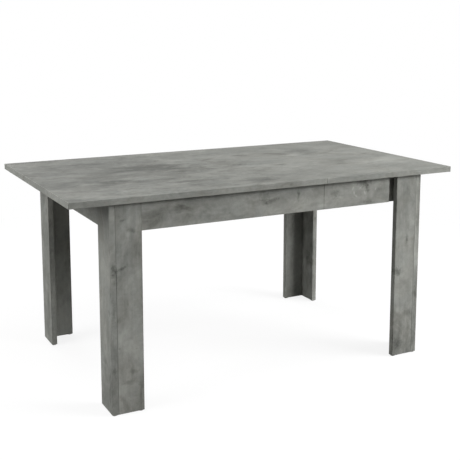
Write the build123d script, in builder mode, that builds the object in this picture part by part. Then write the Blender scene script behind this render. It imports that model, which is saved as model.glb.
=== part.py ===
from build123d import *

import math
import os
from typing import NamedTuple

# An extendable dining table, shown closed. The left part stands still. The right part has
# its own pair of legs and draws out along +X on ball slides, so that a leaf can be laid
# in the gap. X runs along the table, -Y is its front and +Z is up. The origin lies on the
# floor under the middle of the closed table. All sizes are in millimetres.

# Table top
closed_length = 1600.0
top_width = 900.0
table_height = 770.0
board = 22.0
fixed_top_length = 1000.0
leaf_length = 500.0
insert_play = 3.0
seam_gap = 0.6
edge_round = 1.0

# Legs, each an L of a side board and a face board
end_overhang = 141.0
side_overhang = 15.0
leg_width = 118.0
leg_depth = 116.0

# Aprons
apron_height = 102.0
apron_setback = 5.0
end_apron_setback = 13.0
lap_length = 40.0
short_apron_gap = 34.0

# Inner rails of the moving part, with their packers and crossbar
rail_clearance = 1.0
rail_drop = 8.0
rail_tail = 35.0
packer_height = 58.0
packer_setback = 15.0
packer_base = 4.0
crossbar_base = 2.0
crossbar_clearance = 8.0
crossbar_inset = 2.0

# Ball slides
slide_thickness = 16.0
slide_height = 46.0
slide_length = 660.0
slide_sheet = 1.5
slide_flange = 12.5
slide_drop = 57.0
slide_end_gap = 5.0
outer_lip = 3.2
inner_lip = 1.5
ball_radius = 1.8
race_clearance = 0.3
cage_width = 5.0
cage_sheet = 0.8
cage_play = 10.0
cage_hole_clearance = 0.15
ball_pitch = 18.0

# Leaf store under the fixed top
leaf_latch_gap = 2.7
leaf_slide_gap = 0.3
leaf_end_gap = 40.0
guide_clearance = 2.0
guide_end_gap = 110.0
bearer_lip = 25.0
bearer_thickness = 12.0
stop_width = 400.0

# Seam latches
latch_rail_gap = 37.0
latch_pivot_inset = 32.0
latch_reach = 60.0
latch_open_angle = 30.0
latch_plate = 2.0
latch_plate_length = 36.0
latch_plate_width = 40.0
lever_thickness = 3.0
lever_width = 22.0
lever_nose = 16.0
lever_tail = 38.0
lever_tab = 14.0
pivot_radius = 3.0
pivot_clearance = 0.05
pivot_head_radius = 6.0
pivot_head_height = 2.0
latch_clearance = 0.3
striker_radius = 3.0
striker_length = 6.0
striker_plate_size = 30.0
striker_slack = 0.6

# Alignment pins across the seam and on the leaf
pin_radius = 4.0
pin_out = 12.0
pin_in = 15.0
pin_spread = 300.0
pin_clearance = 0.3
pin_round = 1.5

# Cam fittings
cam_radius = 7.5
cam_cover = 4.0
cam_sink = 0.3
cam_slot = 1.6
cam_slot_depth = 2.5
cam_setback = 24.0
cam_edge = 25.0
cam_spread = 200.0
bolt_radius = 3.0
bolt_slack = 0.3
thread_radius = 3.5
thread_length = 11.0

# Dowels, screws and floor glides
dowel_radius = 4.0
dowel_length = 36.0
dowel_in_side = 12.0
dowels_per_leg = 4
screw_radius = 2.25
screw_head_radius = 4.5
screw_bite = 13.0
small_screw_radius = 1.25
small_screw_head_radius = 2.5
small_screw_length = 14.0
pan_radius = 1.75
pan_head_radius = 3.8
pan_head_height = 2.0
pan_length = 15.0
slide_screw_count = 4
drive_slot = 0.8
glide_radius = 9.0
glide_height = 3.0
glide_round = 0.6
nail_radius = 1.0
nail_length = 12.0
fit = 0.05
drill_extra = 1.0

# Planes that the pieces share
x_end = closed_length / 2
x_seam = fixed_top_length - x_end
z_under = table_height - board
z_apron = z_under - apron_height
x_leg = x_end - end_overhang
x_leg_inner = x_leg - board
x_leg_edge = x_leg - leg_width
y_leg = top_width / 2 - side_overhang
y_leg_inner = y_leg - board
y_leg_edge = y_leg - leg_depth
y_apron = y_leg - apron_setback
y_apron_inner = y_apron - board
x_short_apron = x_leg_edge - short_apron_gap
x_end_apron = x_leg - end_apron_setback
x_end_apron_inner = x_end_apron - board
y_rail = y_apron_inner - slide_thickness
y_rail_inner = y_rail - board
travel = leaf_length + seam_gap + insert_play
x_slide = (x_seam - slide_end_gap - slide_length, x_seam - slide_end_gap)
z_slide = z_under - slide_drop
x_rail_tail = x_slide[0] - rail_tail
x_crossbar = (x_rail_tail + crossbar_inset, x_rail_tail + crossbar_inset + board)
z_packer = (z_apron + packer_base, z_apron + packer_base + packer_height)
x_leaf = (leaf_end_gap - x_end_apron_inner, leaf_end_gap - x_end_apron_inner + top_width)
z_lever = z_under - latch_plate - latch_clearance - lever_thickness
z_leaf = z_lever - lever_tab - leaf_latch_gap - board
z_bearer = z_leaf - leaf_slide_gap
z_crossbar = (z_apron + crossbar_base, z_bearer - bearer_thickness - crossbar_clearance)
y_guide = leaf_length / 2 + pin_out + guide_clearance
y_guide_outer = y_guide + board
x_guide = (x_leaf[0] - board, x_seam - guide_end_gap)
x_pivot = x_seam - latch_pivot_inset
x_striker = x_pivot + latch_reach
y_latch = y_rail_inner - latch_rail_gap

wood_screw = (screw_radius, screw_head_radius)
plate_screw = (small_screw_radius, small_screw_head_radius)
sides = ((-1, "front"), (1, "back"))
ends = ((-1, "left"), (1, "right"))
base = (Align.CENTER, Align.CENTER, Align.MIN)

os.makedirs("parts", exist_ok=True)


class CamJoint(NamedTuple):
    """A cam disc let into a board, which draws up a bolt standing in the next board."""

    face: Vector
    into: Vector
    toward: Vector
    depth: float

    @property
    def start(self):
        """Middle of the cam disc's open end."""
        return self.face + self.into * cam_sink

    @property
    def axis(self):
        """Where the bolt's axis meets the cam's."""
        return self.face + self.into * self.depth

    @property
    def thread(self):
        """Where the bolt's thread enters the next board."""
        return self.axis + self.toward * cam_setback


class Screw(NamedTuple):
    """A countersunk screw, flush with the face it enters."""

    start: Vector
    direction: Vector
    length: float


def panel(x, y, z):
    """Board between the given limits, with its edges rounded."""
    block(x, y, z)
    fillet(edges(), edge_round)


def block(x, y, z):
    """Square-edged batten between the given limits."""
    with Locations((sum(x) / 2, sum(y) / 2, sum(z) / 2)):
        Box(max(x) - min(x), max(y) - min(y), max(z) - min(z))


def rods(places, radius, length, mode=Mode.ADD):
    """Round bars, or the bores for them, each from a point along a direction."""
    with Locations(*[Plane(origin=start, z_dir=direction) for start, direction in places]):
        Cylinder(radius, length, align=base, mode=mode)


def cut_cams(joints):
    """Pockets for the cam discs and bores for the bolts, in the board that holds the cams."""
    for depth in sorted({joint.depth for joint in joints}):
        places = [(joint.face, joint.into) for joint in joints if joint.depth == depth]
        rods(places, cam_radius + fit, depth + cam_cover, Mode.SUBTRACT)
    places = [(joint.axis, joint.toward) for joint in joints]
    rods(places, bolt_radius + fit, cam_setback, Mode.SUBTRACT)


def cut_threads(joints):
    """Bores for the bolts' threads, in the next board."""
    places = [(joint.thread, joint.toward) for joint in joints]
    rods(places, thread_radius + fit, thread_length + drill_extra, Mode.SUBTRACT)


def add_cam_discs(joints):
    """Cam discs with their driver slots and the mouths that take the bolts."""
    for depth in sorted({joint.depth for joint in joints}):
        places = [(joint.start, joint.into) for joint in joints if joint.depth == depth]
        rods(places, cam_radius, depth + cam_cover - cam_sink)
    with Locations(*[Plane(joint.start, x_dir=joint.toward, z_dir=joint.into) for joint in joints]):
        Box(cam_radius, cam_slot, cam_slot_depth, align=base, mode=Mode.SUBTRACT)
        Box(cam_slot, cam_radius, cam_slot_depth, align=base, mode=Mode.SUBTRACT)
    mouths = [(joint.axis - joint.toward * bolt_radius, joint.toward) for joint in joints]
    rods(mouths, bolt_radius + bolt_slack, 2 * cam_radius, Mode.SUBTRACT)


def add_cam_bolts(joints):
    """Bolts from the cams to the bottoms of their threads."""
    rods([(joint.axis, joint.toward) for joint in joints], bolt_radius, cam_setback)
    rods([(joint.thread, joint.toward) for joint in joints], thread_radius, thread_length)


def countersunk(screws, size, slack=0.0, mode=Mode.ADD):
    """Bodies of countersunk screws of one size, or with slack the holes for them."""
    shank, head = size
    with Locations(*[Plane(origin=screw.start, z_dir=screw.direction) for screw in screws]):
        Cone(head + slack, shank + slack, head - shank, align=base, mode=mode)
    for length in sorted({screw.length for screw in screws}):
        places = [(screw.start, screw.direction) for screw in screws if screw.length == length]
        rods(places, shank + slack, length + slack, mode)


def drive(screws, size):
    """The screws of one list, with cross recesses for the driver."""
    countersunk(screws, size)
    _, head = size
    with Locations(*[Plane(origin=screw.start, z_dir=screw.direction) for screw in screws]):
        Box(head, drive_slot, drive_slot, align=base, mode=Mode.SUBTRACT)
        Box(drive_slot, head, drive_slot, align=base, mode=Mode.SUBTRACT)


def drill(screws, size):
    """Holes for the screws of one list."""
    countersunk(screws, size, fit, Mode.SUBTRACT)


def spread(first, last, count):
    """Evenly spaced places, each in the middle of its share of a length."""
    return [first + (last - first) * (i + 0.5) / count for i in range(count)]


# Cam fittings: long aprons to the left legs, rails to the right legs, and each to the top
cam_heights = (z_apron + cam_edge, z_under - cam_edge)
shared_depth = (y_leg_inner + y_apron) / 2 - y_apron_inner
z_top_cam = z_under - cam_setback
up = Vector(0, 0, 1)
down = Vector(0, 0, -1)

apron_leg_cams = {}
rail_leg_cams = {}
long_apron_cams = {}
short_apron_cams = {}
leg_top_cams = {}
end_apron_cams = {}
for side, _ in sides:
    outward = Vector(0, side, 0)
    x_apron_cam = cam_setback - x_leg_edge
    apron_leg_cams[side] = [
        CamJoint(Vector(x_apron_cam, side * y_apron_inner, z), outward, Vector(-1, 0, 0), shared_depth)
        for z in cam_heights
    ]
    x_rail_cam = x_leg_inner - cam_setback
    rail_leg_cams[side] = [
        CamJoint(Vector(x_rail_cam, side * y_rail_inner, z), outward, Vector(1, 0, 0), board / 2)
        for z in cam_heights
    ]
    long_apron_cams[side] = [
        CamJoint(Vector(x, side * y_apron_inner, z_top_cam), outward, up, board / 2)
        for x in spread(-x_leg_edge, x_seam, 3)
    ]
    short_apron_cams[side] = [
        CamJoint(Vector(x, side * y_apron_inner, z_top_cam), outward, up, board / 2)
        for x in spread(x_seam, x_short_apron, 2)
    ]
    for end, _ in ends:
        leg_top_cams[end, side] = [
            CamJoint(Vector(end * x, side * y_leg_inner, z_top_cam), outward, up, board / 2)
            for x in (x_leg_edge + cam_edge, x_leg_inner - cam_edge)
        ]
for end, _ in ends:
    end_apron_cams[end] = [
        CamJoint(Vector(end * x_end_apron_inner, y, z_top_cam), Vector(end, 0, 0), up, board / 2)
        for y in (-cam_spread, 0, cam_spread)
    ]

fixed_top_cams = long_apron_cams[-1] + long_apron_cams[1] + end_apron_cams[-1]
fixed_top_cams += leg_top_cams[-1, -1] + leg_top_cams[-1, 1]
fixed_cams = fixed_top_cams + apron_leg_cams[-1] + apron_leg_cams[1]
moving_top_cams = short_apron_cams[-1] + short_apron_cams[1] + end_apron_cams[1]
moving_top_cams += leg_top_cams[1, -1] + leg_top_cams[1, 1]
moving_cams = moving_top_cams + rail_leg_cams[-1] + rail_leg_cams[1]

# Dowels that join each leg's two boards, and the screws of the end aprons' laps
leg_dowels = {}
lap_screws = {}
for end, _ in ends:
    for side, _ in sides:
        leg_dowels[end, side] = [
            Vector(end * (x_leg_inner + dowel_in_side), side * (y_leg - board / 2), z)
            for z in spread(glide_height, z_under, dowels_per_leg)
        ]
        y_lap_screw = side * (y_leg_edge + lap_length / 2)
        lap_screws[end, side] = [
            Screw(
                Vector(end * x_end_apron_inner, y_lap_screw, z),
                Vector(end, 0, 0),
                end_apron_setback + screw_bite,
            )
            for z in cam_heights
        ]

# Screws through the rails and packers, and through the rails into the crossbar
packer_screws = {}
crossbar_screws = {}
for side, _ in sides:
    x_apron_screws = spread(x_seam, x_short_apron, 3)
    x_leg_screw = x_leg_edge + cam_edge + dowel_in_side
    packer_screws[side] = [
        Screw(
            Vector(x, side * y_rail_inner, sum(z_packer) / 2),
            Vector(0, side, 0),
            board + slide_thickness + screw_bite,
        )
        for x in x_apron_screws
    ]
    packer_screws[side] += [
        Screw(
            Vector(x_leg_screw, side * y_rail_inner, z),
            Vector(0, side, 0),
            board + slide_thickness + apron_setback + screw_bite,
        )
        for z in spread(*z_packer, 2)
    ]
    crossbar_screws[side] = [
        Screw(Vector(sum(x_crossbar) / 2, side * y_rail, z), Vector(0, -side, 0), 2 * board + screw_bite)
        for z in spread(*z_crossbar, 2)
    ]

# Screws of the slides, the leaf store and the latches
x_slide_screws = spread(*x_slide, slide_screw_count)
z_store_screw = z_bearer - bearer_thickness
store_screw_length = z_under - z_store_screw + screw_bite
bearer_screws = {
    side: [
        Screw(Vector(x, side * (y_guide + board / 2), z_store_screw), up, store_screw_length)
        for x in spread(*x_guide, 4)
    ]
    for side, _ in sides
}
stop_screws = [
    Screw(Vector(x_leaf[0] - board / 2, y, z_bearer), up, z_under - z_bearer + screw_bite)
    for y in spread(-stop_width / 2, stop_width / 2, 2)
]
x_latch_plate = (x_pivot - latch_plate_length / 2, x_pivot + latch_plate_length / 2)
latch_screw_edge = small_screw_head_radius + latch_plate
latch_plate_screws = {
    side: [
        Screw(Vector(x, side * y_latch + y, z_under - latch_plate), up, small_screw_length)
        for x in (x_latch_plate[0] + latch_screw_edge, x_latch_plate[1] - latch_screw_edge)
        for y in (latch_screw_edge - latch_plate_width / 2, latch_plate_width / 2 - latch_screw_edge)
    ]
    for side, _ in sides
}
striker_screw_reach = striker_plate_size / 2 - latch_screw_edge
striker_screws = {
    side: [
        Screw(Vector(x_striker, side * y_latch + y, z_under - latch_plate), up, small_screw_length)
        for y in (-striker_screw_reach, striker_screw_reach)
    ]
    for side, _ in sides
}

# Alignment pins: where they cross the seam, and where they sit in the stored leaf
z_pin = z_under + board / 2
y_pins = (-pin_spread, 0, pin_spread)
x_leaf_mid = sum(x_leaf) / 2


# The two table tops
with BuildPart() as fixed_top:
    panel((-x_end, x_seam - seam_gap / 2), (-top_width / 2, top_width / 2), (z_under, table_height))
    cut_threads(fixed_top_cams)
    sockets = [((x_seam - seam_gap / 2, y, z_pin), (-1, 0, 0)) for y in y_pins]
    rods(sockets, pin_radius + pin_clearance, pin_out + drill_extra, Mode.SUBTRACT)
    drill(bearer_screws[-1] + bearer_screws[1] + stop_screws, wood_screw)
    drill(latch_plate_screws[-1] + latch_plate_screws[1], plate_screw)
fixed_top.part.label = "fixed_top"
export_step(fixed_top.part, "parts/fixed_top.step")

with BuildPart() as moving_top:
    panel((x_seam + seam_gap / 2, x_end), (-top_width / 2, top_width / 2), (z_under, table_height))
    cut_threads(moving_top_cams)
    sockets = [((x_seam + seam_gap / 2, y, z_pin), (1, 0, 0)) for y in y_pins]
    rods(sockets, pin_radius + fit, pin_in, Mode.SUBTRACT)
    drill(striker_screws[-1] + striker_screws[1], plate_screw)
moving_top.part.label = "moving_top"
export_step(moving_top.part, "parts/moving_top.step")

# Legs
glide_places = {}
for end, end_name in ends:
    across = Vector(-end, 0, 0)
    for side, side_name in sides:
        glide_places[end, side] = [
            (end * (x_leg - board / 2), side * (y_leg_edge + board / 2)),
            (end * (x_leg - board / 2), side * (y_leg - board / 2)),
            (end * (x_leg_edge + board / 2), side * (y_leg - board / 2)),
        ]

        with BuildPart() as leg_side:
            panel(
                (end * x_leg_inner, end * x_leg),
                (side * y_leg_edge, side * y_leg),
                (glide_height, z_under),
            )
            bores = [(start + across * -drill_extra, across) for start in leg_dowels[end, side]]
            rods(bores, dowel_radius + fit, dowel_in_side + drill_extra, Mode.SUBTRACT)
            drill(lap_screws[end, side], wood_screw)
            if end > 0:
                cut_threads(rail_leg_cams[side])
            nails = [((x, y, glide_height), up) for x, y in glide_places[end, side][:2]]
            rods(nails, nail_radius + fit, nail_length, Mode.SUBTRACT)
        leg_side.part.label = f"{side_name}_{end_name}_leg_side"
        export_step(leg_side.part, f"parts/{side_name}_{end_name}_leg_side.step")

        with BuildPart() as leg_face:
            panel(
                (end * x_leg_edge, end * x_leg_inner),
                (side * y_leg_inner, side * y_leg),
                (glide_height, z_under),
            )
            bores = [(start + across * dowel_in_side, across) for start in leg_dowels[end, side]]
            rods(bores, dowel_radius + fit, dowel_length - dowel_in_side + drill_extra, Mode.SUBTRACT)
            cut_cams(leg_top_cams[end, side])
            if end < 0:
                cut_threads(apron_leg_cams[side])
            else:
                drill(packer_screws[side], wood_screw)
            nails = [((x, y, glide_height), up) for x, y in glide_places[end, side][2:]]
            rods(nails, nail_radius + fit, nail_length, Mode.SUBTRACT)
        leg_face.part.label = f"{side_name}_{end_name}_leg_face"
        export_step(leg_face.part, f"parts/{side_name}_{end_name}_leg_face.step")

# Aprons along the front and back, split at the seam like the top
for side, side_name in sides:
    with BuildPart() as long_apron:
        panel(
            (-x_leg_edge, x_seam - seam_gap / 2),
            (side * y_apron_inner, side * y_apron),
            (z_apron, z_under),
        )
        cut_cams(apron_leg_cams[side] + long_apron_cams[side])
        bores = [((x, side * y_apron_inner, z_slide), (0, side, 0)) for x in x_slide_screws]
        rods(bores, pan_radius + fit, pan_length, Mode.SUBTRACT)
    long_apron.part.label = f"fixed_{side_name}_apron"
    export_step(long_apron.part, f"parts/fixed_{side_name}_apron.step")

    with BuildPart() as short_apron:
        panel(
            (x_seam + seam_gap / 2, x_short_apron),
            (side * y_apron_inner, side * y_apron),
            (z_apron, z_under),
        )
        cut_cams(short_apron_cams[side])
        drill(packer_screws[side], wood_screw)
    short_apron.part.label = f"moving_{side_name}_apron"
    export_step(short_apron.part, f"parts/moving_{side_name}_apron.step")

# End aprons, halved at each end into a tongue behind the leg's side board
for end, half_name in ((-1, "fixed"), (1, "moving")):
    with BuildPart() as end_apron:
        panel(
            (end * x_end_apron_inner, end * x_end_apron),
            (-y_leg_edge, y_leg_edge),
            (z_apron, z_under),
        )
        for side, _ in sides:
            block(
                (end * x_end_apron_inner, end * x_leg_inner),
                (side * (y_leg_edge - lap_length), side * (y_leg_edge + lap_length)),
                (z_apron + edge_round, z_under - edge_round),
            )
        cut_cams(end_apron_cams[end])
        drill(lap_screws[end, -1] + lap_screws[end, 1], wood_screw)
    end_apron.part.label = f"{half_name}_end_apron"
    export_step(end_apron.part, f"parts/{half_name}_end_apron.step")

# Inner rails, which stay with the moving part and reach behind the fixed aprons
for side, side_name in sides:
    with BuildPart() as rail:
        panel(
            (x_rail_tail, x_leg_inner),
            (side * y_rail_inner, side * y_rail),
            (z_apron - rail_drop, z_under - rail_clearance),
        )
        cut_cams(rail_leg_cams[side])
        bores = [((x, side * y_rail, z_slide), (0, -side, 0)) for x in x_slide_screws]
        rods(bores, pan_radius + fit, pan_length, Mode.SUBTRACT)
        drill(packer_screws[side] + crossbar_screws[side], wood_screw)
    rail.part.label = f"{side_name}_inner_rail"
    export_step(rail.part, f"parts/{side_name}_inner_rail.step")

with BuildPart() as rail_crossbar:
    panel(x_crossbar, (-y_rail_inner, y_rail_inner), z_crossbar)
    drill(crossbar_screws[-1] + crossbar_screws[1], wood_screw)
rail_crossbar.part.label = "rail_crossbar"
export_step(rail_crossbar.part, "parts/rail_crossbar.step")

with BuildPart() as apron_packers:
    for side, _ in sides:
        block(
            (x_seam + slide_end_gap, x_short_apron - packer_setback),
            (side * y_rail, side * y_apron_inner),
            z_packer,
        )
    drill(packer_screws[-1] + packer_screws[1], wood_screw)
apron_packers.part.label = "apron_packers"
export_step(apron_packers.part, "parts/apron_packers.step")

with BuildPart() as leg_packers:
    for side, _ in sides:
        block(
            (x_leg_edge + packer_setback, x_leg_inner),
            (side * y_rail, side * y_leg_inner),
            z_packer,
        )
    drill(packer_screws[-1] + packer_screws[1], wood_screw)
leg_packers.part.label = "leg_packers"
export_step(leg_packers.part, "parts/leg_packers.step")

# Ball slides: the outer member is screwed to the fixed apron, the inner one to the rail
half_outer = slide_height / 2
half_inner = half_outer - slide_sheet - 2 * (ball_radius + race_clearance)
z_balls = half_outer - slide_sheet - ball_radius - race_clearance
for side, side_name in sides:
    y_web = side * y_apron_inner
    y_lip = side * (y_apron_inner - slide_flange)
    with BuildPart() as slide_outer:
        with BuildSketch(Plane.YZ.offset(x_slide[0])):
            with BuildLine():
                upper = Polyline(
                    (y_web, z_slide),
                    (y_web, z_slide + half_outer),
                    (y_lip, z_slide + half_outer),
                    (y_lip, z_slide + half_outer - outer_lip),
                    (y_lip + side * slide_sheet, z_slide + half_outer - outer_lip),
                    (y_lip + side * slide_sheet, z_slide + half_outer - slide_sheet),
                    (y_web - side * slide_sheet, z_slide + half_outer - slide_sheet),
                    (y_web - side * slide_sheet, z_slide),
                    close=True,
                )
            make_face()
        extrude(amount=slide_length)
        mirror(about=Plane.XY.offset(z_slide))
        bores = [((x, y_web - side * slide_sheet, z_slide), (0, side, 0)) for x in x_slide_screws]
        rods(bores, pan_radius + fit, slide_sheet, Mode.SUBTRACT)
    slide_outer.part.label = f"{side_name}_slide_outer"
    export_step(slide_outer.part, f"parts/{side_name}_slide_outer.step")

    y_web = side * y_rail
    y_lip = side * (y_rail + slide_flange)
    with BuildPart() as slide_inner:
        with BuildSketch(Plane.YZ.offset(x_slide[0])):
            with BuildLine():
                upper = Polyline(
                    (y_web, z_slide),
                    (y_web, z_slide + half_inner),
                    (y_lip - side * slide_sheet, z_slide + half_inner),
                    (y_lip - side * slide_sheet, z_slide + half_inner + inner_lip),
                    (y_lip, z_slide + half_inner + inner_lip),
                    (y_lip, z_slide + half_inner - slide_sheet),
                    (y_web + side * slide_sheet, z_slide + half_inner - slide_sheet),
                    (y_web + side * slide_sheet, z_slide),
                    close=True,
                )
            make_face()
        extrude(amount=slide_length)
        mirror(about=Plane.XY.offset(z_slide))
        bores = [((x, y_web + side * slide_sheet, z_slide), (0, -side, 0)) for x in x_slide_screws]
        rods(bores, pan_radius + fit, slide_sheet, Mode.SUBTRACT)
    slide_inner.part.label = f"{side_name}_slide_inner"
    export_step(slide_inner.part, f"parts/{side_name}_slide_inner.step")

# Ball cages, which run at half the speed of the moving part, and their balls
cage_length = slide_length - travel - 2 * cage_play
ball_count = int((cage_length - cage_width) // ball_pitch)
x_cage = sum(x_slide) / 2
x_balls = [x_cage + (i - (ball_count - 1) / 2) * ball_pitch for i in range(ball_count)]
cage_rows = [
    (side * (y_apron_inner - slide_thickness / 2), z_slide + level * z_balls)
    for side, _ in sides
    for level in (-1, 1)
]
with BuildPart() as ball_cages:
    for y, z in cage_rows:
        with Locations((x_cage, y, z)):
            Box(cage_length, cage_width, cage_sheet)
        with Locations([(x, y, z) for x in x_balls]):
            Cylinder(ball_radius + cage_hole_clearance, 2 * cage_sheet, mode=Mode.SUBTRACT)
ball_cages.part.label = "ball_cages"
export_step(ball_cages.part, "parts/ball_cages.step")

with BuildPart() as bearing_balls:
    for y, z in cage_rows:
        with Locations([(x, y, z) for x in x_balls]):
            Sphere(ball_radius)
bearing_balls.part.label = "bearing_balls"
export_step(bearing_balls.part, "parts/bearing_balls.step")

# Leaf store: guides beside the leaf, bearers under its edges and a stop behind it
for side, side_name in sides:
    with BuildPart() as leaf_guide:
        block(x_guide, (side * y_guide, side * y_guide_outer), (z_bearer, z_under))
        drill(bearer_screws[side], wood_screw)
    leaf_guide.part.label = f"{side_name}_leaf_guide"
    export_step(leaf_guide.part, f"parts/{side_name}_leaf_guide.step")

    with BuildPart() as leaf_bearer:
        block(
            x_guide,
            (side * (leaf_length / 2 - bearer_lip), side * y_guide_outer),
            (z_bearer - bearer_thickness, z_bearer),
        )
        drill(bearer_screws[side], wood_screw)
    leaf_bearer.part.label = f"{side_name}_leaf_bearer"
    export_step(leaf_bearer.part, f"parts/{side_name}_leaf_bearer.step")

with BuildPart() as leaf_stop:
    block((x_leaf[0] - board, x_leaf[0]), (-stop_width / 2, stop_width / 2), (z_bearer, z_under))
    drill(stop_screws, wood_screw)
leaf_stop.part.label = "leaf_stop"
export_step(leaf_stop.part, "parts/leaf_stop.step")

# The leaf, stored a quarter turn round, with pins on one edge and sockets on the other
with BuildPart() as extension_leaf:
    panel(x_leaf, (-leaf_length / 2, leaf_length / 2), (z_leaf, z_leaf + board))
    sockets = [((x_leaf_mid + x, leaf_length / 2, z_leaf + board / 2), (0, -1, 0)) for x in y_pins]
    rods(sockets, pin_radius + pin_clearance, pin_out + drill_extra, Mode.SUBTRACT)
    bores = [((x_leaf_mid + x, -leaf_length / 2, z_leaf + board / 2), (0, 1, 0)) for x in y_pins]
    rods(bores, pin_radius + fit, pin_in, Mode.SUBTRACT)
extension_leaf.part.label = "extension_leaf"
export_step(extension_leaf.part, "parts/extension_leaf.step")

with BuildPart() as leaf_pins:
    y_start = pin_in - leaf_length / 2
    places = [((x_leaf_mid + x, y_start, z_leaf + board / 2), (0, -1, 0)) for x in y_pins]
    rods(places, pin_radius, pin_in + pin_out)
    chamfer(edges().group_by(Axis.Y)[0], pin_round)
leaf_pins.part.label = "leaf_pins"
export_step(leaf_pins.part, "parts/leaf_pins.step")

with BuildPart() as alignment_pins:
    places = [((x_seam + seam_gap / 2 + pin_in, y, z_pin), (-1, 0, 0)) for y in y_pins]
    rods(places, pin_radius, pin_in + pin_out)
    chamfer(edges().group_by(Axis.X)[0], pin_round)
alignment_pins.part.label = "alignment_pins"
export_step(alignment_pins.part, "parts/alignment_pins.step")

# Seam latches: a lever swings on a rivet in the fixed part and hooks a pin on the moving part
with BuildPart() as latch_plates:
    for side, _ in sides:
        block(
            x_latch_plate,
            (side * y_latch - latch_plate_width / 2, side * y_latch + latch_plate_width / 2),
            (z_under - latch_plate, z_under),
        )
    bores = [((x_pivot, side * y_latch, z_under), down) for side, _ in sides]
    rods(bores, pivot_radius + fit, latch_plate, Mode.SUBTRACT)
    drill(latch_plate_screws[-1] + latch_plate_screws[1], plate_screw)
latch_plates.part.label = "latch_plates"
export_step(latch_plates.part, "parts/latch_plates.step")

with BuildPart() as latch_rivets:
    shank = latch_plate + lever_thickness + 2 * latch_clearance
    pivots = [Vector(x_pivot, side * y_latch, z_under) for side, _ in sides]
    rods([(pivot, down) for pivot in pivots], pivot_radius, shank)
    rods([(pivot + down * shank, down) for pivot in pivots], pivot_head_radius, pivot_head_height)
latch_rivets.part.label = "latch_rivets"
export_step(latch_rivets.part, "parts/latch_rivets.step")

slot_angle = math.degrees(math.asin(lever_width / latch_reach))
for side, side_name in sides:
    open_direction = Vector(1, 0, 0).rotate(Axis.Z, -side * latch_open_angle)
    lever_plane = Plane(
        origin=(x_pivot, side * y_latch, z_lever), x_dir=open_direction, z_dir=(0, 0, 1)
    )
    with BuildPart() as latch_lever:
        with BuildSketch(lever_plane):
            with Locations(((latch_reach + lever_nose - lever_tail) / 2, 0)):
                RectangleRounded(latch_reach + lever_nose + lever_tail, lever_width, lever_width / 4)
            Circle(pivot_radius + pivot_clearance, mode=Mode.SUBTRACT)
            with BuildLine(mode=Mode.PRIVATE) as swing:
                CenterArc((0, 0), latch_reach, 0, side * slot_angle)
            SlotArc(swing.edge(), 2 * (striker_radius + striker_slack), mode=Mode.SUBTRACT)
        extrude(amount=lever_thickness)
        with BuildSketch(lever_plane):
            with Locations((-lever_tail + lever_thickness / 2, 0)):
                Rectangle(lever_thickness, lever_width / 2)
        extrude(amount=-lever_tab)
    latch_lever.part.label = f"{side_name}_latch_lever"
    export_step(latch_lever.part, f"parts/{side_name}_latch_lever.step")

with BuildPart() as latch_strikers:
    for side, _ in sides:
        block(
            (x_striker - striker_plate_size / 2, x_striker + striker_plate_size / 2),
            (side * y_latch - striker_plate_size / 2, side * y_latch + striker_plate_size / 2),
            (z_under - latch_plate, z_under),
        )
    places = [((x_striker, side * y_latch, z_under - latch_plate), down) for side, _ in sides]
    rods(places, striker_radius, striker_length)
    drill(striker_screws[-1] + striker_screws[1], plate_screw)
latch_strikers.part.label = "latch_strikers"
export_step(latch_strikers.part, "parts/latch_strikers.step")

with BuildPart() as latch_plate_screw_set:
    drive(latch_plate_screws[-1] + latch_plate_screws[1], plate_screw)
latch_plate_screw_set.part.label = "latch_plate_screws"
export_step(latch_plate_screw_set.part, "parts/latch_plate_screws.step")

with BuildPart() as striker_screw_set:
    drive(striker_screws[-1] + striker_screws[1], plate_screw)
striker_screw_set.part.label = "striker_screws"
export_step(striker_screw_set.part, "parts/striker_screws.step")

# Fasteners of each part of the table
for end, half_name, cams in ((-1, "fixed", fixed_cams), (1, "moving", moving_cams)):
    with BuildPart() as cam_discs:
        add_cam_discs(cams)
    cam_discs.part.label = f"{half_name}_cam_discs"
    export_step(cam_discs.part, f"parts/{half_name}_cam_discs.step")

    with BuildPart() as cam_bolts:
        add_cam_bolts(cams)
    cam_bolts.part.label = f"{half_name}_cam_bolts"
    export_step(cam_bolts.part, f"parts/{half_name}_cam_bolts.step")

    with BuildPart() as dowels:
        starts = leg_dowels[end, -1] + leg_dowels[end, 1]
        rods([(start, (-end, 0, 0)) for start in starts], dowel_radius, dowel_length)
    dowels.part.label = f"{half_name}_leg_dowels"
    export_step(dowels.part, f"parts/{half_name}_leg_dowels.step")

    with BuildPart() as lap_screw_set:
        drive(lap_screws[end, -1] + lap_screws[end, 1], wood_screw)
    lap_screw_set.part.label = f"{half_name}_lap_screws"
    export_step(lap_screw_set.part, f"parts/{half_name}_lap_screws.step")

    # Pan heads stand on the slide member's web; the outer one faces in, the inner one out
    y_seat = y_apron_inner - slide_sheet if end < 0 else y_rail + slide_sheet
    with BuildPart() as slide_screws:
        seats = [(Vector(x, side * y_seat, z_slide), side) for side, _ in sides for x in x_slide_screws]
        rods([(seat, (0, -end * side, 0)) for seat, side in seats], pan_radius, pan_length)
        rods([(seat, (0, end * side, 0)) for seat, side in seats], pan_head_radius, pan_head_height)
    slide_screws.part.label = f"{half_name}_slide_screws"
    export_step(slide_screws.part, f"parts/{half_name}_slide_screws.step")

    with BuildPart() as floor_glides:
        places = glide_places[end, -1] + glide_places[end, 1]
        rods([((x, y, 0), up) for x, y in places], glide_radius, glide_height)
        chamfer(edges().group_by(Axis.Z)[0], glide_round)
        rods([((x, y, glide_height), up) for x, y in places], nail_radius, nail_length)
    floor_glides.part.label = f"{half_name}_floor_glides"
    export_step(floor_glides.part, f"parts/{half_name}_floor_glides.step")

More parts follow.
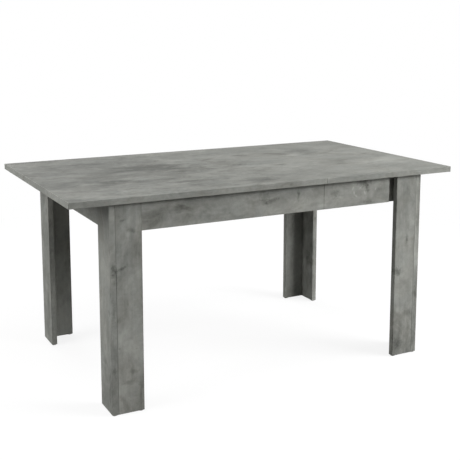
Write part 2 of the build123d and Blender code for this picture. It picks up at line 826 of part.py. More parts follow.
with BuildPart() as leaf_store_screws:
    drive(bearer_screws[-1] + bearer_screws[1] + stop_screws, wood_screw)
leaf_store_screws.part.label = "leaf_store_screws"
export_step(leaf_store_screws.part, "parts/leaf_store_screws.step")

with BuildPart() as packer_screw_set:
    drive(packer_screws[-1] + packer_screws[1], wood_screw)
packer_screw_set.part.label = "packer_screws"
export_step(packer_screw_set.part, "parts/packer_screws.step")

with BuildPart() as crossbar_screw_set:
    drive(crossbar_screws[-1] + crossbar_screws[1], wood_screw)
crossbar_screw_set.part.label = "crossbar_screws"
export_step(crossbar_screw_set.part, "parts/crossbar_screws.step")
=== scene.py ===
"""Looks of an extendable dining table in grey concrete-print board, closed, on a white floor."""
import math
from typing import NamedTuple

import bpy
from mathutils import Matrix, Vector


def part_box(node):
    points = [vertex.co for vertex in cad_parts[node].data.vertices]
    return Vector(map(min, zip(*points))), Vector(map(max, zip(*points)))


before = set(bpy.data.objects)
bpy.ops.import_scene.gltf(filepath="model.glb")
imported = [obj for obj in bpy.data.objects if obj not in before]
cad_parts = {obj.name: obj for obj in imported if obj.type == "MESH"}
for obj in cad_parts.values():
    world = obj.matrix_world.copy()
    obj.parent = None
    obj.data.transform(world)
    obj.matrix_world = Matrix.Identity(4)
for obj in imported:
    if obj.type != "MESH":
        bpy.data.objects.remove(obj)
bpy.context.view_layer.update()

# Lengths are metres, angles degrees, powers watts and colours linear.
WHITE = (1.0, 1.0, 1.0, 1.0)
FADE_OUT = (1.0, 0.0)

# Camera: the photograph's viewing angle, with its lens in millimetres and its shift in frame widths.
# An unturned camera looks straight down.
CAMERA_LEVEL = 90.0
CAMERA_PLACE = (-1.588, -3.118, 1.340)
CAMERA_YAW = 27.29
CAMERA_PITCH = 8.68
CAMERA_LENS = 67.52
CAMERA_SHIFT = -0.16

# Light: a dome that is dark at the horizon and brightest overhead, and four soft lamps
DOME_STRENGTH = 0.67


class Softbox(NamedTuple):
    """A soft square lamp aimed at the table."""

    place: tuple
    size: float
    power: float


SOFTBOXES = {
    "left_softbox": Softbox((-4.5, 0.0, 3.0), 3.0, 142.0),
    "front_right_softbox": Softbox((3.3, -3.1, 2.6), 2.2, 182.0),
    "high_right_softbox": Softbox((3.8, -1.6, 3.4), 2.2, 90.0),
    "back_softbox": Softbox((-0.8, 4.6, 3.0), 2.6, 75.0),
}
LAMP_TARGET = Vector((0.0, 0.0, 0.5))

# Floor: what it throws back at the table, and the glow and shade of what is seen of it.
# Its shadows fade out between two distances from the middle of the table.
FLOOR_SIZE = 60.0
FLOOR_BOUNCE = (0.16, 0.16, 0.155, 1.0)
FLOOR_GLOW = 0.84
FLOOR_SHADE = (0.165, 0.165, 0.165, 1.0)
FLOOR_SHADOW_FADES = (1.4, 2.8)


class Noise(NamedTuple):
    """A cloudy pattern: features to a metre, octaves, their strength, and how far it is stirred."""

    scale: float
    detail: float
    roughness: float = 0.55
    distortion: float = 0.0


class Warp(NamedTuple):
    """How coordinates are pushed about: waves to a metre, and how far."""

    scale: float
    reach: float


NOISE_MEAN = 0.5
WARP_DETAIL = 5.0

# Concrete print: tones from the darkest stains to the palest clouds, and tints along its stains
PRINT_GREYS = [
    (0.0, (0.075, 0.077, 0.069, 1.0)),
    (0.5, (0.255, 0.260, 0.240, 1.0)),
    (1.0, (0.450, 0.455, 0.425, 1.0)),
]
PRINT_TINTS = [
    (0.35, (0.99, 1.0, 1.005, 1.0)),
    (0.65, (1.012, 1.0, 0.985, 1.0)),
]
# Patterns, and how far some of them are drawn out along a board
CLOUDS = Noise(7.0, 8.0, 0.55, 0.6)
PATCHES = Noise(19.0, 7.0, 0.62, 0.9)
STROKES = Noise(55.0, 5.0, 0.6)
MOTTLE = Noise(70.0, 6.0, 0.65)
STREAKS = Noise(70.0, 5.0, 0.65)
GRAIN = Noise(600.0, 2.0)
STAINS = Noise(9.0, 6.0, 0.55, 1.4)
CLOUD_STRETCH = 0.6
STROKE_STRETCH = 0.22
STREAK_STRETCH = 0.02
STROKE_WARP = Warp(2.5, 0.35)
PATCH_SHIFT = (3.7, 1.9, 5.3)
STAIN_SHIFT = (8.1, 4.3, 2.2)
STAIN_SPAN = (0.57, 0.72)
# Pits: cells to a metre, where in a cell a pit fades out, and the tones of the clouds that have pits
PIT_WARP = Warp(60.0, 0.014)
PIT_CELLS = 24.0
PIT_SPAN = (0.04, 0.15)
PITTED_CLOUDS = (0.45, 0.6)
# Distances from an edge over which wear, joint lines and the painted light on narrow faces fade out, and
# how ragged wear is
WORN_SPAN = (0.0035, 0.0065)
WORN_FUZZ = 0.010
JOINT_SPAN = (0.0006, 0.0024)
PAINTED_EDGE_LIGHT_SPAN = (0.0004, 0.0016)
# Marks: how ragged an outline is, where it fades out, and the reach above which it is coarse
MARK_FUZZ = 1.6
MARK_SPAN = (0.85, 1.8)
BROAD_MARK = 0.08
# Shares of the layers in the tone of every board, in its polish and in its relief
MOTTLE_SHARE = 0.35
GRAIN_SHARE = 0.15
STAIN_DEPTH = 0.16
PIT_DEPTH = 0.12
WORN_LIFT = 0.10
PRINT_POLISH = {"mottle": 0.6, "patches": 0.4, "worn": 0.15}
PRINT_POLISH_SPAN = (0.3, 0.75)
PRINT_ROUGHNESS = (0.64, 0.84)
PRINT_SPECULAR = 0.25
PRINT_HEIGHTS = {"mottle": 0.5, "streaks": 0.3, "grain": 0.2, "pits": -0.5}
PRINT_RELIEF = 0.0003


class Print(NamedTuple):
    """How a kind of board is printed: its mean tone, and the shares of the layers that differ by kind."""

    level: float
    clouds: float
    patches: float
    strokes: float
    streaks: float
    joint: float
    # painted light: how much paler the narrow faces of the board are made
    band: float


# Painted shade: the top's print has a darker mean tone than the same print on the aprons and legs,
# offsetting the stronger light on the top.
TOP_PRINT = Print(
    level=0.335, clouds=0.60, patches=0.25, strokes=0.32, streaks=0.08, joint=0.05, band=0.19
)
APRON_PRINT = Print(
    level=0.52, clouds=1.0, patches=0.75, strokes=0.0, streaks=0.12, joint=0.14, band=0.0
)
LEG_SIDE_PRINT = Print(
    level=0.52, clouds=1.0, patches=0.70, strokes=0.0, streaks=0.30, joint=0.0, band=0.06
)
LEG_FACE_PRINT = LEG_SIDE_PRINT._replace(joint=0.28, band=0.0)

# Places in the endless pattern that the boards are cut from
TOP_CUT = (0.0, 0.0, 0.0)
APRON_CUT = (0.0, 0.0, 4.0)
PACKER_CUT = (0.0, 0.0, 6.0)
RAIL_CUT = (0.0, 0.0, 9.0)
LEG_SIDE_CUT = Vector((0.0, 2.0, 0.0))
LEG_FACE_CUT = Vector((0.0, 6.0, 0.0))
RIGHT_LEG_CUT = Vector((7.0, 0.0, 0.0))
BACK_LEG_CUT = Vector((0.0, 0.0, 3.0))


class Mark(NamedTuple):
    """A darker patch in a board's tone, or a paler one where its depth is below zero: most are stains of
    the print, some are painted light and painted shade.
    """

    place: tuple
    reach: tuple
    depth: float
    turn: tuple = (0, 0, 0)


# Faces that the marks lie on, and how far a mark reaches into its board
TOP_LOW, TOP_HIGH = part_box("fixed_top")
APRON_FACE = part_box("fixed_front_apron")[0].y
LEG_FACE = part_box("front_left_leg_face")[0].y
LEG_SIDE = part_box("front_left_leg_side")[0].x
BACK_LEG_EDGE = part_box("back_left_leg_side")[0].y
BACK_LEG_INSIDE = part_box("back_left_leg_face")[0].y
RIGHT_LEG_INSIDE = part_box("back_right_leg_side")[0].x
TOP_MARK_REACH = 0.1
MARK_REACH = 0.03


def on_top(x, y, length, width, depth):
    """A mark on the upper face of the top."""
    return Mark((x, y, TOP_HIGH.z), (length, width, TOP_MARK_REACH), depth)


def on_front(face, x, z, length, height, depth, turn=0, into=MARK_REACH):
    """A mark on a face towards the front, turned in that face."""
    return Mark((x, face, z), (length, into, height), depth, (0, turn, 0))


def on_left(face, y, z, width, height, depth, into=MARK_REACH):
    """A mark on a face towards the left."""
    return Mark((face, y, z), (into, width, height), depth)


TOP_MARKS = [
    on_top(-0.55, 0.05, 0.80, 0.90, 0.17),
    on_top(-0.50, 0.24, 0.15, 0.10, 0.13),
    on_top(-0.30, 0.08, 0.22, 0.13, 0.11),
    on_top(-0.19, -0.03, 0.15, 0.09, 0.12),
    on_top(-0.53, -0.16, 0.14, 0.08, 0.16),
    on_top(0.06, -0.01, 0.04, 0.02, 0.25),
    on_top(-0.05, -0.36, 0.14, 0.07, 0.14),
    on_top(-0.25, -0.27, 0.20, 0.03, 0.14),
    on_top(0.48, 0.14, 0.09, 0.14, 0.14),
    on_top(0.63, -0.18, 0.20, 0.14, -0.22),
    on_top(0.38, 0.11, 0.06, 0.05, -0.12),
    on_top(-0.64, 0.02, 0.12, 0.06, -0.14),
    on_top(-0.42, 0.0, 0.10, 0.05, -0.13),
    # Painted light: the left end edge of the top made paler along its whole length.
    on_left(TOP_LOW.x, 0.0, 0.757, 1.60, 0.06, -0.13, into=0.004),
]
APRON_MARKS = [
    on_front(APRON_FACE, -0.17, 0.69, 0.22, 0.10, 0.06),
    on_front(APRON_FACE, 0.10, 0.68, 0.18, 0.10, -0.08),
    on_front(APRON_FACE, -0.06, 0.718, 0.03, 0.035, 0.22, turn=30),
    on_front(APRON_FACE, -0.03, 0.700, 0.045, 0.012, 0.26, turn=-15),
    on_front(APRON_FACE, 0.087, 0.712, 0.008, 0.034, 0.30),
    on_front(APRON_FACE, 0.25, 0.705, 0.03, 0.025, 0.16),
    on_front(APRON_FACE, 0.385, 0.735, 0.040, 0.020, 0.42),
    on_front(APRON_FACE, 0.400, 0.712, 0.014, 0.024, 0.34),
    on_front(APRON_FACE, 0.333, 0.717, 0.005, 0.014, -0.30, turn=20),
    on_front(APRON_FACE, 0.338, 0.698, 0.005, 0.014, -0.34, turn=-6),
    on_front(APRON_FACE, 0.348, 0.685, 0.005, 0.012, -0.28, turn=-50),
    on_front(APRON_FACE, 0.368, 0.716, 0.004, 0.012, -0.26, turn=50),
    on_front(APRON_FACE, 0.388, 0.696, 0.005, 0.013, -0.28, turn=-28),
    on_front(APRON_FACE, 0.440, 0.706, 0.004, 0.012, -0.24, turn=15),
    on_front(APRON_FACE, 0.42, 0.685, 0.02, 0.025, -0.16),
    on_front(APRON_FACE, 0.40, 0.656, 0.05, 0.012, 0.18),
    on_front(APRON_FACE, 0.19, 0.660, 0.03, 0.012, -0.16),
    on_front(APRON_FACE, -0.47, 0.70, 0.10, 0.05, 0.16),
    on_front(APRON_FACE, -0.35, 0.67, 0.12, 0.03, 0.12),
]
LEG_MARKS = {
    "front_left_leg": [
        on_front(LEG_FACE, -0.641, 0.508, 0.016, 0.055, 0.27),
        on_front(LEG_FACE, -0.646, 0.528, 0.010, 0.024, 0.20, turn=20),
        on_front(LEG_FACE, -0.621, 0.521, 0.040, 0.010, 0.34, turn=-22),
        on_front(LEG_FACE, -0.577, 0.652, 0.030, 0.012, 0.23, turn=20),
        on_front(LEG_FACE, -0.592, 0.640, 0.012, 0.014, -0.16),
        on_front(LEG_FACE, -0.609, 0.690, 0.020, 0.007, 0.22, turn=-10),
        on_front(LEG_FACE, -0.649, 0.370, 0.010, 0.060, 0.20),
        on_front(LEG_FACE, -0.649, 0.165, 0.010, 0.030, 0.18),
        on_front(LEG_FACE, -0.595, 0.115, 0.045, 0.014, 0.20),
        on_front(LEG_FACE, -0.575, 0.150, 0.025, 0.014, 0.18),
        on_left(LEG_SIDE, -0.370, 0.180, 0.035, 0.020, 0.14),
        on_left(LEG_SIDE, -0.420, 0.370, 0.020, 0.015, 0.14),
        on_left(LEG_SIDE, -0.370, 0.060, 0.090, 0.150, 0.18),
        on_left(LEG_SIDE, -0.380, 0.480, 0.150, 0.300, -0.07),
    ],
    "front_right_leg": [
        on_front(LEG_FACE, 0.554, 0.358, 0.026, 0.026, 0.46),
        on_front(LEG_FACE, 0.598, 0.487, 0.009, 0.026, 0.36),
        on_front(LEG_FACE, 0.585, 0.350, 0.120, 0.240, -0.15),
        on_front(LEG_FACE, 0.590, 0.060, 0.120, 0.160, 0.16),
        on_front(LEG_FACE, 0.560, 0.195, 0.014, 0.024, -0.20, turn=15),
        on_front(LEG_FACE, 0.610, 0.180, 0.034, 0.020, 0.18),
        on_front(LEG_FACE, 0.565, 0.055, 0.034, 0.035, 0.22),
        on_front(LEG_FACE, 0.650, 0.400, 0.022, 0.900, 0.12),
        on_front(LEG_FACE, 0.648, 0.560, 0.009, 0.060, 0.14),
        on_front(LEG_FACE, 0.648, 0.250, 0.009, 0.080, 0.16),
    ],
    # Painted shade and painted light: the outer side face made darker, and the shaded front edge of the
    # side board and the inner face of the face board made paler, over most of the leg's height.
    "back_left_leg": [
        on_left(LEG_SIDE, 0.375, 0.380, 0.150, 0.700, 0.12),
        on_front(BACK_LEG_EDGE, -0.648, 0.380, 0.030, 0.700, -0.14, into=0.012),
        on_front(BACK_LEG_INSIDE, -0.585, 0.380, 0.080, 0.700, -0.12, into=0.020),
    ],
    # Painted light and painted shade: the shaded inner face of the face board made paler, and the inner
    # face of the side board under the table made darker.
    "back_right_leg": [
        on_front(BACK_LEG_INSIDE, 0.575, 0.330, 0.080, 0.600, -0.10, into=0.020),
        on_left(RIGHT_LEG_INSIDE, 0.366, 0.380, 0.150, 0.700, 0.12, into=0.012),
    ],
}


class Wood(NamedTuple):
    """Solid wood: its tones, the axis of its grain, and the CAD nodes made of it."""

    pale: tuple
    dark: tuple
    along: str
    nodes: tuple


SPRUCE = {"pale": (0.62, 0.47, 0.28, 1.0), "dark": (0.42, 0.28, 0.14, 1.0)}
BEECH = {"pale": (0.58, 0.40, 0.25, 1.0), "dark": (0.43, 0.27, 0.15, 1.0)}
SPRUCE_NODES = ("front_leaf_guide", "back_leaf_guide", "front_leaf_bearer", "back_leaf_bearer")
BEECH_NODES = ("fixed_leg_dowels", "moving_leg_dowels", "alignment_pins")
WOODS = {
    "spruce": Wood(along="X", nodes=SPRUCE_NODES, **SPRUCE),
    "spruce_across": Wood(along="Y", nodes=("leaf_stop",), **SPRUCE),
    "beech": Wood(along="X", nodes=BEECH_NODES, **BEECH),
    "beech_across": Wood(along="Y", nodes=("leaf_pins",), **BEECH),
}
WOOD_FIGURE = Noise(60.0, 5.0, 0.6, 1.2)
WOOD_FIBRES = Noise(900.0, 2.0)
WOOD_SHIFT = (0.3, 0.7, 0.1)
WOOD_STRETCH = 0.06
WOOD_TONE = {"figure": 0.8, "fibres": 0.25}
WOOD_TONE_SPAN = (0.25, 0.75)
WOOD_FIGURE_SPAN = (0.3, 0.7)
WOOD_ROUGHNESS = (0.55, 0.72)
WOOD_RELIEF = 0.0003


class Metal(NamedTuple):
    """Plated or bare metal, and the CAD nodes made of it."""

    colour: tuple
    roughness: float
    nodes: tuple


METALS = {
    "slide_zinc": Metal(
        colour=(0.48, 0.50, 0.52, 1.0),
        roughness=0.36,
        nodes=("front_slide_outer", "back_slide_outer", "front_slide_inner", "back_slide_inner"),
    ),
    "latch_zinc": Metal(
        colour=(0.44, 0.45, 0.45, 1.0),
        roughness=0.40,
        nodes=("latch_plates", "latch_rivets", "latch_strikers", "front_latch_lever", "back_latch_lever"),
    ),
    "screw_zinc": Metal(
        colour=(0.50, 0.47, 0.37, 1.0),
        roughness=0.32,
        nodes=(
            "leaf_store_screws",
            "latch_plate_screws",
            "striker_screws",
            "packer_screws",
            "crossbar_screws",
            "fixed_lap_screws",
            "moving_lap_screws",
            "fixed_slide_screws",
            "moving_slide_screws",
            "fixed_cam_bolts",
            "moving_cam_bolts",
        ),
    ),
    "cam_zinc": Metal(
        colour=(0.42, 0.43, 0.44, 1.0),
        roughness=0.46,
        nodes=("fixed_cam_discs", "moving_cam_discs"),
    ),
    "ball_steel": Metal(colour=(0.60, 0.61, 0.62, 1.0), roughness=0.16, nodes=("bearing_balls",)),
}
METAL_CLOUDS = Noise(45.0, 5.0, 0.6)
METAL_LINES = Noise(700.0, 3.0, 0.6)
METAL_STRETCH = 0.02
METAL_TARNISH = {"clouds": 0.55, "lines": 0.45}
METAL_TARNISH_TONES = (0.34, 0.62)
METAL_TARNISH_SPAN = (0.35, 0.65)
METAL_SHADE = 0.74
METAL_DULLER = 0.1
METAL_SHINIER = 0.08
METAL_RELIEF = 0.00004


class Plastic(NamedTuple):
    """Moulded plastic, and the CAD nodes made of it."""

    colour: tuple
    nodes: tuple


PLASTICS = {
    "cage_plastic": Plastic((0.72, 0.71, 0.66, 1.0), ("ball_cages",)),
    "glide_plastic": Plastic((0.70, 0.70, 0.68, 1.0), ("fixed_floor_glides", "moving_floor_glides")),
}
PLASTIC_SKIN = Noise(1400.0, 2.0)
PLASTIC_CLOUDS = Noise(30.0, 3.0)
PLASTIC_SPAN = (0.3, 0.7)
PLASTIC_SHADE = 0.8
PLASTIC_ROUGHNESS = (0.42, 0.56)
PLASTIC_RELIEF = 0.00005


class Shading:
    """A shader node tree in the making."""

    def __init__(self, tree):
        self.tree = tree

    def feed(self, socket, value):
        """Sets an input, or links it to another node's output."""
        if isinstance(value, bpy.types.NodeSocket):
            self.tree.links.new(value, socket)
        else:
            socket.default_value = value

    def node(self, kind, inputs=(), **settings):
        """A new node, with its inputs by name or number."""
        node = self.tree.nodes.new(f"ShaderNode{kind}")
        for name, value in settings.items():
            setattr(node, name, value)
        for key, value in dict(inputs).items():
            self.feed(node.inputs[key], value)
        return node

    def add(self, kind, inputs=(), output=0, **settings):
        """One output of a new node."""
        return self.node(kind, inputs, **settings).outputs[output]

    def maths(self, operation, *values):
        """One calculation with two or three values."""
        return self.add("Math", dict(enumerate(values)), operation=operation)

    def vectors(self, operation, *values, output="Vector"):
        """One calculation with vectors."""
        return self.add("VectorMath", dict(enumerate(values)), output, operation=operation)

    def span(self, value, source, target=(0.0, 1.0)):
        """A value's range taken to another range, with soft ends."""
        inputs = {"Value": value}
        inputs["From Min"], inputs["From Max"] = source
        inputs["To Min"], inputs["To Max"] = target
        return self.add("MapRange", inputs, interpolation_type="SMOOTHSTEP")

    def by_ray(self, lighting, shown):
        """One shader for the rays that light the table, another for those that show a background."""
        path = self.node("LightPath").outputs
        shows = path["Is Camera Ray"]
        for kind in ("Is Glossy Ray", "Is Transmission Ray"):
            shows = self.maths("MAXIMUM", shows, path[kind])
        return self.add("MixShader", {"Fac": shows, 1: lighting, 2: shown})


class Surface(Shading):
    """A material in the making. Most methods add nodes and return an output to feed on."""

    def __init__(self, name):
        self.material = bpy.data.materials.new(name)
        self.material.use_nodes = True
        super().__init__(self.material.node_tree)
        self.shader = self.tree.nodes["Principled BSDF"]
        self.place = self.add("TexCoord", output="Object")

    def moved(self, place, offset=(0, 0, 0), scale=(1, 1, 1)):
        """Coordinates shifted, and stretched where a scale is under one."""
        return self.add("Mapping", {"Vector": place, "Location": offset, "Scale": scale})

    def noise(self, place, pattern):
        """A cloudy pattern from 0 to 1."""
        inputs = {name.capitalize(): value for name, value in pattern._asdict().items()}
        return self.add("TexNoise", {"Vector": place, **inputs})

    def warped(self, place, warp):
        """Coordinates pushed about by a slow noise, so that round marks turn cloudy."""
        inputs = {"Vector": place, "Scale": warp.scale, "Detail": WARP_DETAIL}
        push = self.add("TexNoise", inputs, "Color")
        centred = self.vectors("SUBTRACT", push, (NOISE_MEAN,) * 3)
        return self.vectors("MULTIPLY_ADD", centred, (warp.reach,) * 3, place)

    def weighted(self, layers, shares):
        """Sum of several layers, each with its share."""
        total = 0.0
        for name, share in shares.items():
            total = self.maths("MULTIPLY_ADD", layers[name], share, total)
        return total

    def depths(self, low, high):
        """Depths of a point below the faces of a box, along X, Y and Z."""
        centred = self.vectors("SUBTRACT", self.place, (low + high) / 2)
        beside = self.vectors("ABSOLUTE", centred)
        inside = self.vectors("SUBTRACT", (high - low) / 2, beside)
        return list(self.node("SeparateXYZ", {0: inside}).outputs)

    def edge_distance(self, depths):
        """Distance from a point on a board to the nearest of its edges: the middle one of its depths."""
        x, y, z = depths
        lesser = self.maths("MINIMUM", x, y)
        greater = self.maths("MAXIMUM", x, y)
        return self.maths("MAXIMUM", lesser, self.maths("MINIMUM", greater, z))

    def rim_distance(self, depths, size):
        """Distance from a point to the narrow faces of a board."""
        thickness = min(range(3), key=lambda axis: size[axis])
        return self.maths("MINIMUM", *(depth for axis, depth in enumerate(depths) if axis != thickness))

    def stain(self, mark, fuzz):
        """A mark with a ragged outline, 1 in its middle and 0 outside, for stains and for painted light
        and shade.
        """
        turn = [math.radians(angle) for angle in mark.turn]
        inputs = {"Vector": self.place, "Location": mark.place, "Rotation": turn, "Scale": mark.reach}
        share = self.add("Mapping", inputs, vector_type="TEXTURE")
        distance = self.vectors("LENGTH", share, output="Value")
        ragged = self.maths("MULTIPLY_ADD", fuzz, MARK_FUZZ, distance)
        return self.span(ragged, MARK_SPAN, FADE_OUT)

    def ramp(self, value, stops):
        """Colours along a value."""
        node = self.node("ValToRGB", {"Fac": value})
        elements = node.color_ramp.elements
        while len(elements) < len(stops):
            elements.new(1.0)
        for element, (place, colour) in zip(elements, stops):
            element.position = place
            element.color = colour
        return node.outputs["Color"]

    def finish(self, colour, roughness, height, relief, metallic=0.0):
        """Gives the shader its colour, roughness and relief, in metres, and returns the material."""
        bump = self.add("Bump", {"Height": height, "Distance": relief})
        self.feed(self.shader.inputs["Base Color"], colour)
        self.feed(self.shader.inputs["Roughness"], roughness)
        self.feed(self.shader.inputs["Normal"], bump)
        self.feed(self.shader.inputs["Metallic"], metallic)
        return self.material


def stretched(along, share):
    """Scale that draws a pattern out along one axis."""
    return tuple(share if axis == along else 1.0 for axis in "XYZ")


def shaded(colour, share):
    """A darker tone of a colour."""
    return tuple(share * part for part in colour[:3]) + (1.0,)


def print_layers(surface, board, along, cut):
    """Layers of a concrete print by name: its patterns, pits, wear and joint lines at the edges, and
    painted light on its narrow faces.
    """
    cloud_run = surface.moved(surface.place, cut, stretched(along, CLOUD_STRETCH))
    streak_run = surface.moved(surface.place, cut, stretched(along, STREAK_STRETCH))
    swirl = surface.warped(surface.place, STROKE_WARP)
    stroke_run = surface.moved(swirl, cut, stretched(along, STROKE_STRETCH))
    layers = {
        "clouds": surface.noise(cloud_run, CLOUDS),
        "patches": surface.noise(surface.moved(cloud_run, PATCH_SHIFT), PATCHES),
        "strokes": surface.noise(stroke_run, STROKES),
        "mottle": surface.noise(surface.place, MOTTLE),
        "streaks": surface.noise(streak_run, STREAKS),
        "grain": surface.noise(surface.place, GRAIN),
        "damp": surface.noise(surface.moved(cloud_run, STAIN_SHIFT), STAINS),
    }
    layers["stains"] = surface.span(layers["damp"], STAIN_SPAN)

    cell_place = surface.warped(surface.place, PIT_WARP)
    cells = surface.add("TexVoronoi", {"Vector": cell_place, "Scale": PIT_CELLS})
    holes = surface.span(cells, PIT_SPAN, FADE_OUT)
    layers["pits"] = surface.maths("MULTIPLY", holes, surface.span(layers["clouds"], PITTED_CLOUDS))

    low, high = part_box(board)
    depths = surface.depths(low, high)
    edge = surface.edge_distance(depths)
    rim = surface.rim_distance(depths, high - low)
    ragged = surface.maths("MULTIPLY_ADD", layers["mottle"], WORN_FUZZ, edge)
    layers["worn"] = surface.span(ragged, WORN_SPAN, FADE_OUT)
    layers["joint"] = surface.span(edge, JOINT_SPAN, FADE_OUT)
    # Painted light: the narrow faces of a board, and a strip up to 1.6 mm onto its broad faces, made
    # paler
    layers["band"] = surface.span(rim, PAINTED_EDGE_LIGHT_SPAN, FADE_OUT)
    return layers


def concrete_print(kind, board, along, cut, marks):
    """Melamine board printed as trowelled concrete, with its marks, and on some boards painted light and
    shade.
    """
    surface = Surface(f"{board}_print")
    layers = print_layers(surface, board, along, cut)
    fields = {
        "clouds": kind.clouds,
        "patches": kind.patches,
        "strokes": kind.strokes,
        "mottle": MOTTLE_SHARE,
        "streaks": kind.streaks,
        "grain": GRAIN_SHARE,
    }
    # Stains, pits, wear, joint lines, and the painted light on narrow faces
    spots = {
        "stains": -STAIN_DEPTH,
        "pits": -PIT_DEPTH,
        "worn": WORN_LIFT,
        "joint": -kind.joint,
        "band": kind.band,
    }
    tone = surface.weighted(layers, {**fields, **spots})
    # Marks: stains of the print, and on some boards painted light and painted shade
    for mark in marks:
        fuzz = layers["patches" if max(mark.reach) > BROAD_MARK else "mottle"]
        tone = surface.maths("MULTIPLY_ADD", surface.stain(mark, fuzz), -mark.depth, tone)
    mean = NOISE_MEAN * sum(fields.values())
    tone = surface.maths("SUBTRACT", tone, mean - kind.level)

    greys = surface.ramp(tone, PRINT_GREYS)
    tints = surface.ramp(layers["damp"], PRINT_TINTS)
    colour = surface.vectors("MULTIPLY", greys, tints)
    polish = surface.weighted(layers, PRINT_POLISH)
    roughness = surface.span(polish, PRINT_POLISH_SPAN, PRINT_ROUGHNESS)
    height = surface.weighted(layers, PRINT_HEIGHTS)
    surface.shader.inputs["Specular IOR Level"].default_value = PRINT_SPECULAR
    return surface.finish(colour, roughness, height, PRINT_RELIEF)


def raw_wood(name, wood):
    """Planed solid wood."""
    surface = Surface(name)
    run = surface.moved(surface.place, WOOD_SHIFT, stretched(wood.along, WOOD_STRETCH))
    layers = {
        "figure": surface.noise(run, WOOD_FIGURE),
        "fibres": surface.noise(run, WOOD_FIBRES),
    }
    tone = surface.weighted(layers, WOOD_TONE)
    colour = surface.ramp(tone, list(zip(WOOD_TONE_SPAN, (wood.dark, wood.pale))))
    roughness = surface.span(layers["figure"], WOOD_FIGURE_SPAN, WOOD_ROUGHNESS)
    return surface.finish(colour, roughness, layers["fibres"], WOOD_RELIEF)


def worn_metal(name, metal):
    """Sheet or turned metal, cloudy in tone and polish, with fine drawn lines."""
    surface = Surface(name)
    line_run = surface.moved(surface.place, scale=stretched("X", METAL_STRETCH))
    layers = {
        "clouds": surface.noise(surface.place, METAL_CLOUDS),
        "lines": surface.noise(line_run, METAL_LINES),
    }
    tarnish = surface.weighted(layers, METAL_TARNISH)
    tones = (shaded(metal.colour, METAL_SHADE), metal.colour)
    colour = surface.ramp(tarnish, list(zip(METAL_TARNISH_TONES, tones)))
    polish = (metal.roughness + METAL_DULLER, metal.roughness - METAL_SHINIER)
    roughness = surface.span(tarnish, METAL_TARNISH_SPAN, polish)
    return surface.finish(colour, roughness, layers["lines"], METAL_RELIEF, metallic=1.0)


def moulded_plastic(name, plastic):
    """Moulded plastic with a fine matt skin."""
    surface = Surface(name)
    skin = surface.noise(surface.place, PLASTIC_SKIN)
    clouds = surface.noise(surface.place, PLASTIC_CLOUDS)
    tones = (shaded(plastic.colour, PLASTIC_SHADE), plastic.colour)
    colour = surface.ramp(clouds, list(zip(PLASTIC_SPAN, tones)))
    roughness = surface.span(skin, PLASTIC_SPAN, PLASTIC_ROUGHNESS)
    return surface.finish(colour, roughness, skin, PLASTIC_RELIEF)


def dress(material, *nodes):
    """Gives a material to CAD nodes."""
    for name in nodes:
        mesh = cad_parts[name].data
        mesh.materials.clear()
        mesh.materials.append(material)


def dress_board(kind, board, along, cut, marks=()):
    """Gives a board a print of its own."""
    dress(concrete_print(kind, board, along, cut, marks), board)


def dress_boards():
    """Prints the tops, legs, aprons, rails and packers."""
    for top in ("fixed_top", "moving_top", "extension_leaf"):
        dress_board(TOP_PRINT, top, "X", TOP_CUT, TOP_MARKS)
    for row, side in enumerate(("front", "back")):
        for column, end in enumerate(("left", "right")):
            leg = f"{side}_{end}_leg"
            leg_cut = column * RIGHT_LEG_CUT + row * BACK_LEG_CUT
            dress_board(LEG_SIDE_PRINT, f"{leg}_side", "Z", leg_cut + LEG_SIDE_CUT, LEG_MARKS[leg])
            dress_board(LEG_FACE_PRINT, f"{leg}_face", "Z", leg_cut + LEG_FACE_CUT, LEG_MARKS[leg])
    for half in ("fixed", "moving"):
        for along, side in (("X", "front"), ("X", "back"), ("Y", "end")):
            dress_board(APRON_PRINT, f"{half}_{side}_apron", along, APRON_CUT, APRON_MARKS)
    for along, rail in (("X", "front_inner_rail"), ("X", "back_inner_rail"), ("Y", "rail_crossbar")):
        dress_board(APRON_PRINT, rail, along, RAIL_CUT)
    for packers in ("apron_packers", "leg_packers"):
        dress_board(APRON_PRINT, packers, "X", PACKER_CUT)


def dress_fittings():
    """Gives the battens, dowels, pins, metal and plastic pieces their materials."""
    for name, wood in WOODS.items():
        dress(raw_wood(name, wood), *wood.nodes)
    for name, metal in METALS.items():
        dress(worn_metal(name, metal), *metal.nodes)
    for name, plastic in PLASTICS.items():
        dress(moulded_plastic(name, plastic), *plastic.nodes)


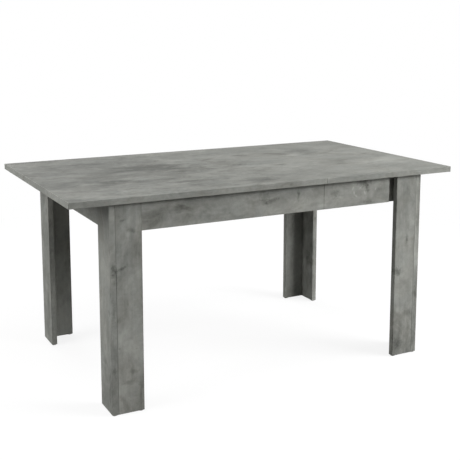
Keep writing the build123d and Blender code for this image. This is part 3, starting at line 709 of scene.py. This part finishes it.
def add_floor():
    """White floor that shows the table's soft shadow and throws little light back up at it."""
    bpy.ops.mesh.primitive_plane_add(size=FLOOR_SIZE)
    floor = bpy.context.object
    floor.name = "floor"
    material = bpy.data.materials.new("white_floor")
    material.use_nodes = True
    shading = Shading(material.node_tree)
    shading.tree.nodes.clear()
    glow = shading.add("Emission", {"Strength": FLOOR_GLOW})
    shade = shading.add("BsdfDiffuse", {"Color": FLOOR_SHADE})
    shadowed = shading.add("AddShader", {0: glow, 1: shade})
    distance = shading.vectors("LENGTH", shading.add("TexCoord", output="Object"), output="Value")
    fading = shading.span(distance, FLOOR_SHADOW_FADES)
    white = shading.add("Emission")
    shown = shading.add("MixShader", {"Fac": fading, 1: shadowed, 2: white})
    bounce = shading.add("BsdfDiffuse", {"Color": FLOOR_BOUNCE})
    shading.node("OutputMaterial", {"Surface": shading.by_ray(bounce, shown)})
    floor.data.materials.append(material)


def add_dome():
    """Studio dome, brighter overhead, which shows as plain white to the camera and in metal."""
    world = bpy.data.worlds.new("studio_dome")
    bpy.context.scene.world = world
    world.use_nodes = True
    shading = Shading(world.node_tree)
    shading.tree.nodes.clear()
    direction = shading.add("TexCoord", output="Generated")
    height = shading.add("SeparateXYZ", {0: direction}, "Z")
    strength = shading.add("MapRange", {"Value": height, "To Max": DOME_STRENGTH})
    dome = shading.add("Background", {"Color": WHITE, "Strength": strength})
    white = shading.add("Background", {"Color": WHITE})
    shading.node("OutputWorld", {"Surface": shading.by_ray(dome, white)})


def add_softbox(name, softbox):
    """A soft square lamp, not seen by the camera itself."""
    lamp = bpy.data.lights.new(name, "AREA")
    lamp.energy = softbox.power
    lamp.size = softbox.size
    holder = bpy.data.objects.new(name, lamp)
    holder.location = softbox.place
    aim = LAMP_TARGET - Vector(softbox.place)
    holder.rotation_euler = aim.to_track_quat("-Z", "Y").to_euler()
    holder.visible_camera = False
    bpy.context.scene.collection.objects.link(holder)


def add_camera():
    """Camera at the photograph's viewing angle."""
    camera = bpy.data.cameras.new("camera")
    camera.lens = CAMERA_LENS
    camera.shift_y = CAMERA_SHIFT
    holder = bpy.data.objects.new("camera", camera)
    holder.location = CAMERA_PLACE
    holder.rotation_euler = (math.radians(CAMERA_LEVEL - CAMERA_PITCH), 0.0, math.radians(-CAMERA_YAW))
    bpy.context.scene.collection.objects.link(holder)
    bpy.context.scene.camera = holder


dress_boards()
dress_fittings()
add_floor()
add_dome()
for name, softbox in SOFTBOXES.items():
    add_softbox(name, softbox)
add_camera()
bpy.context.scene.view_settings.view_transform = "Standard"
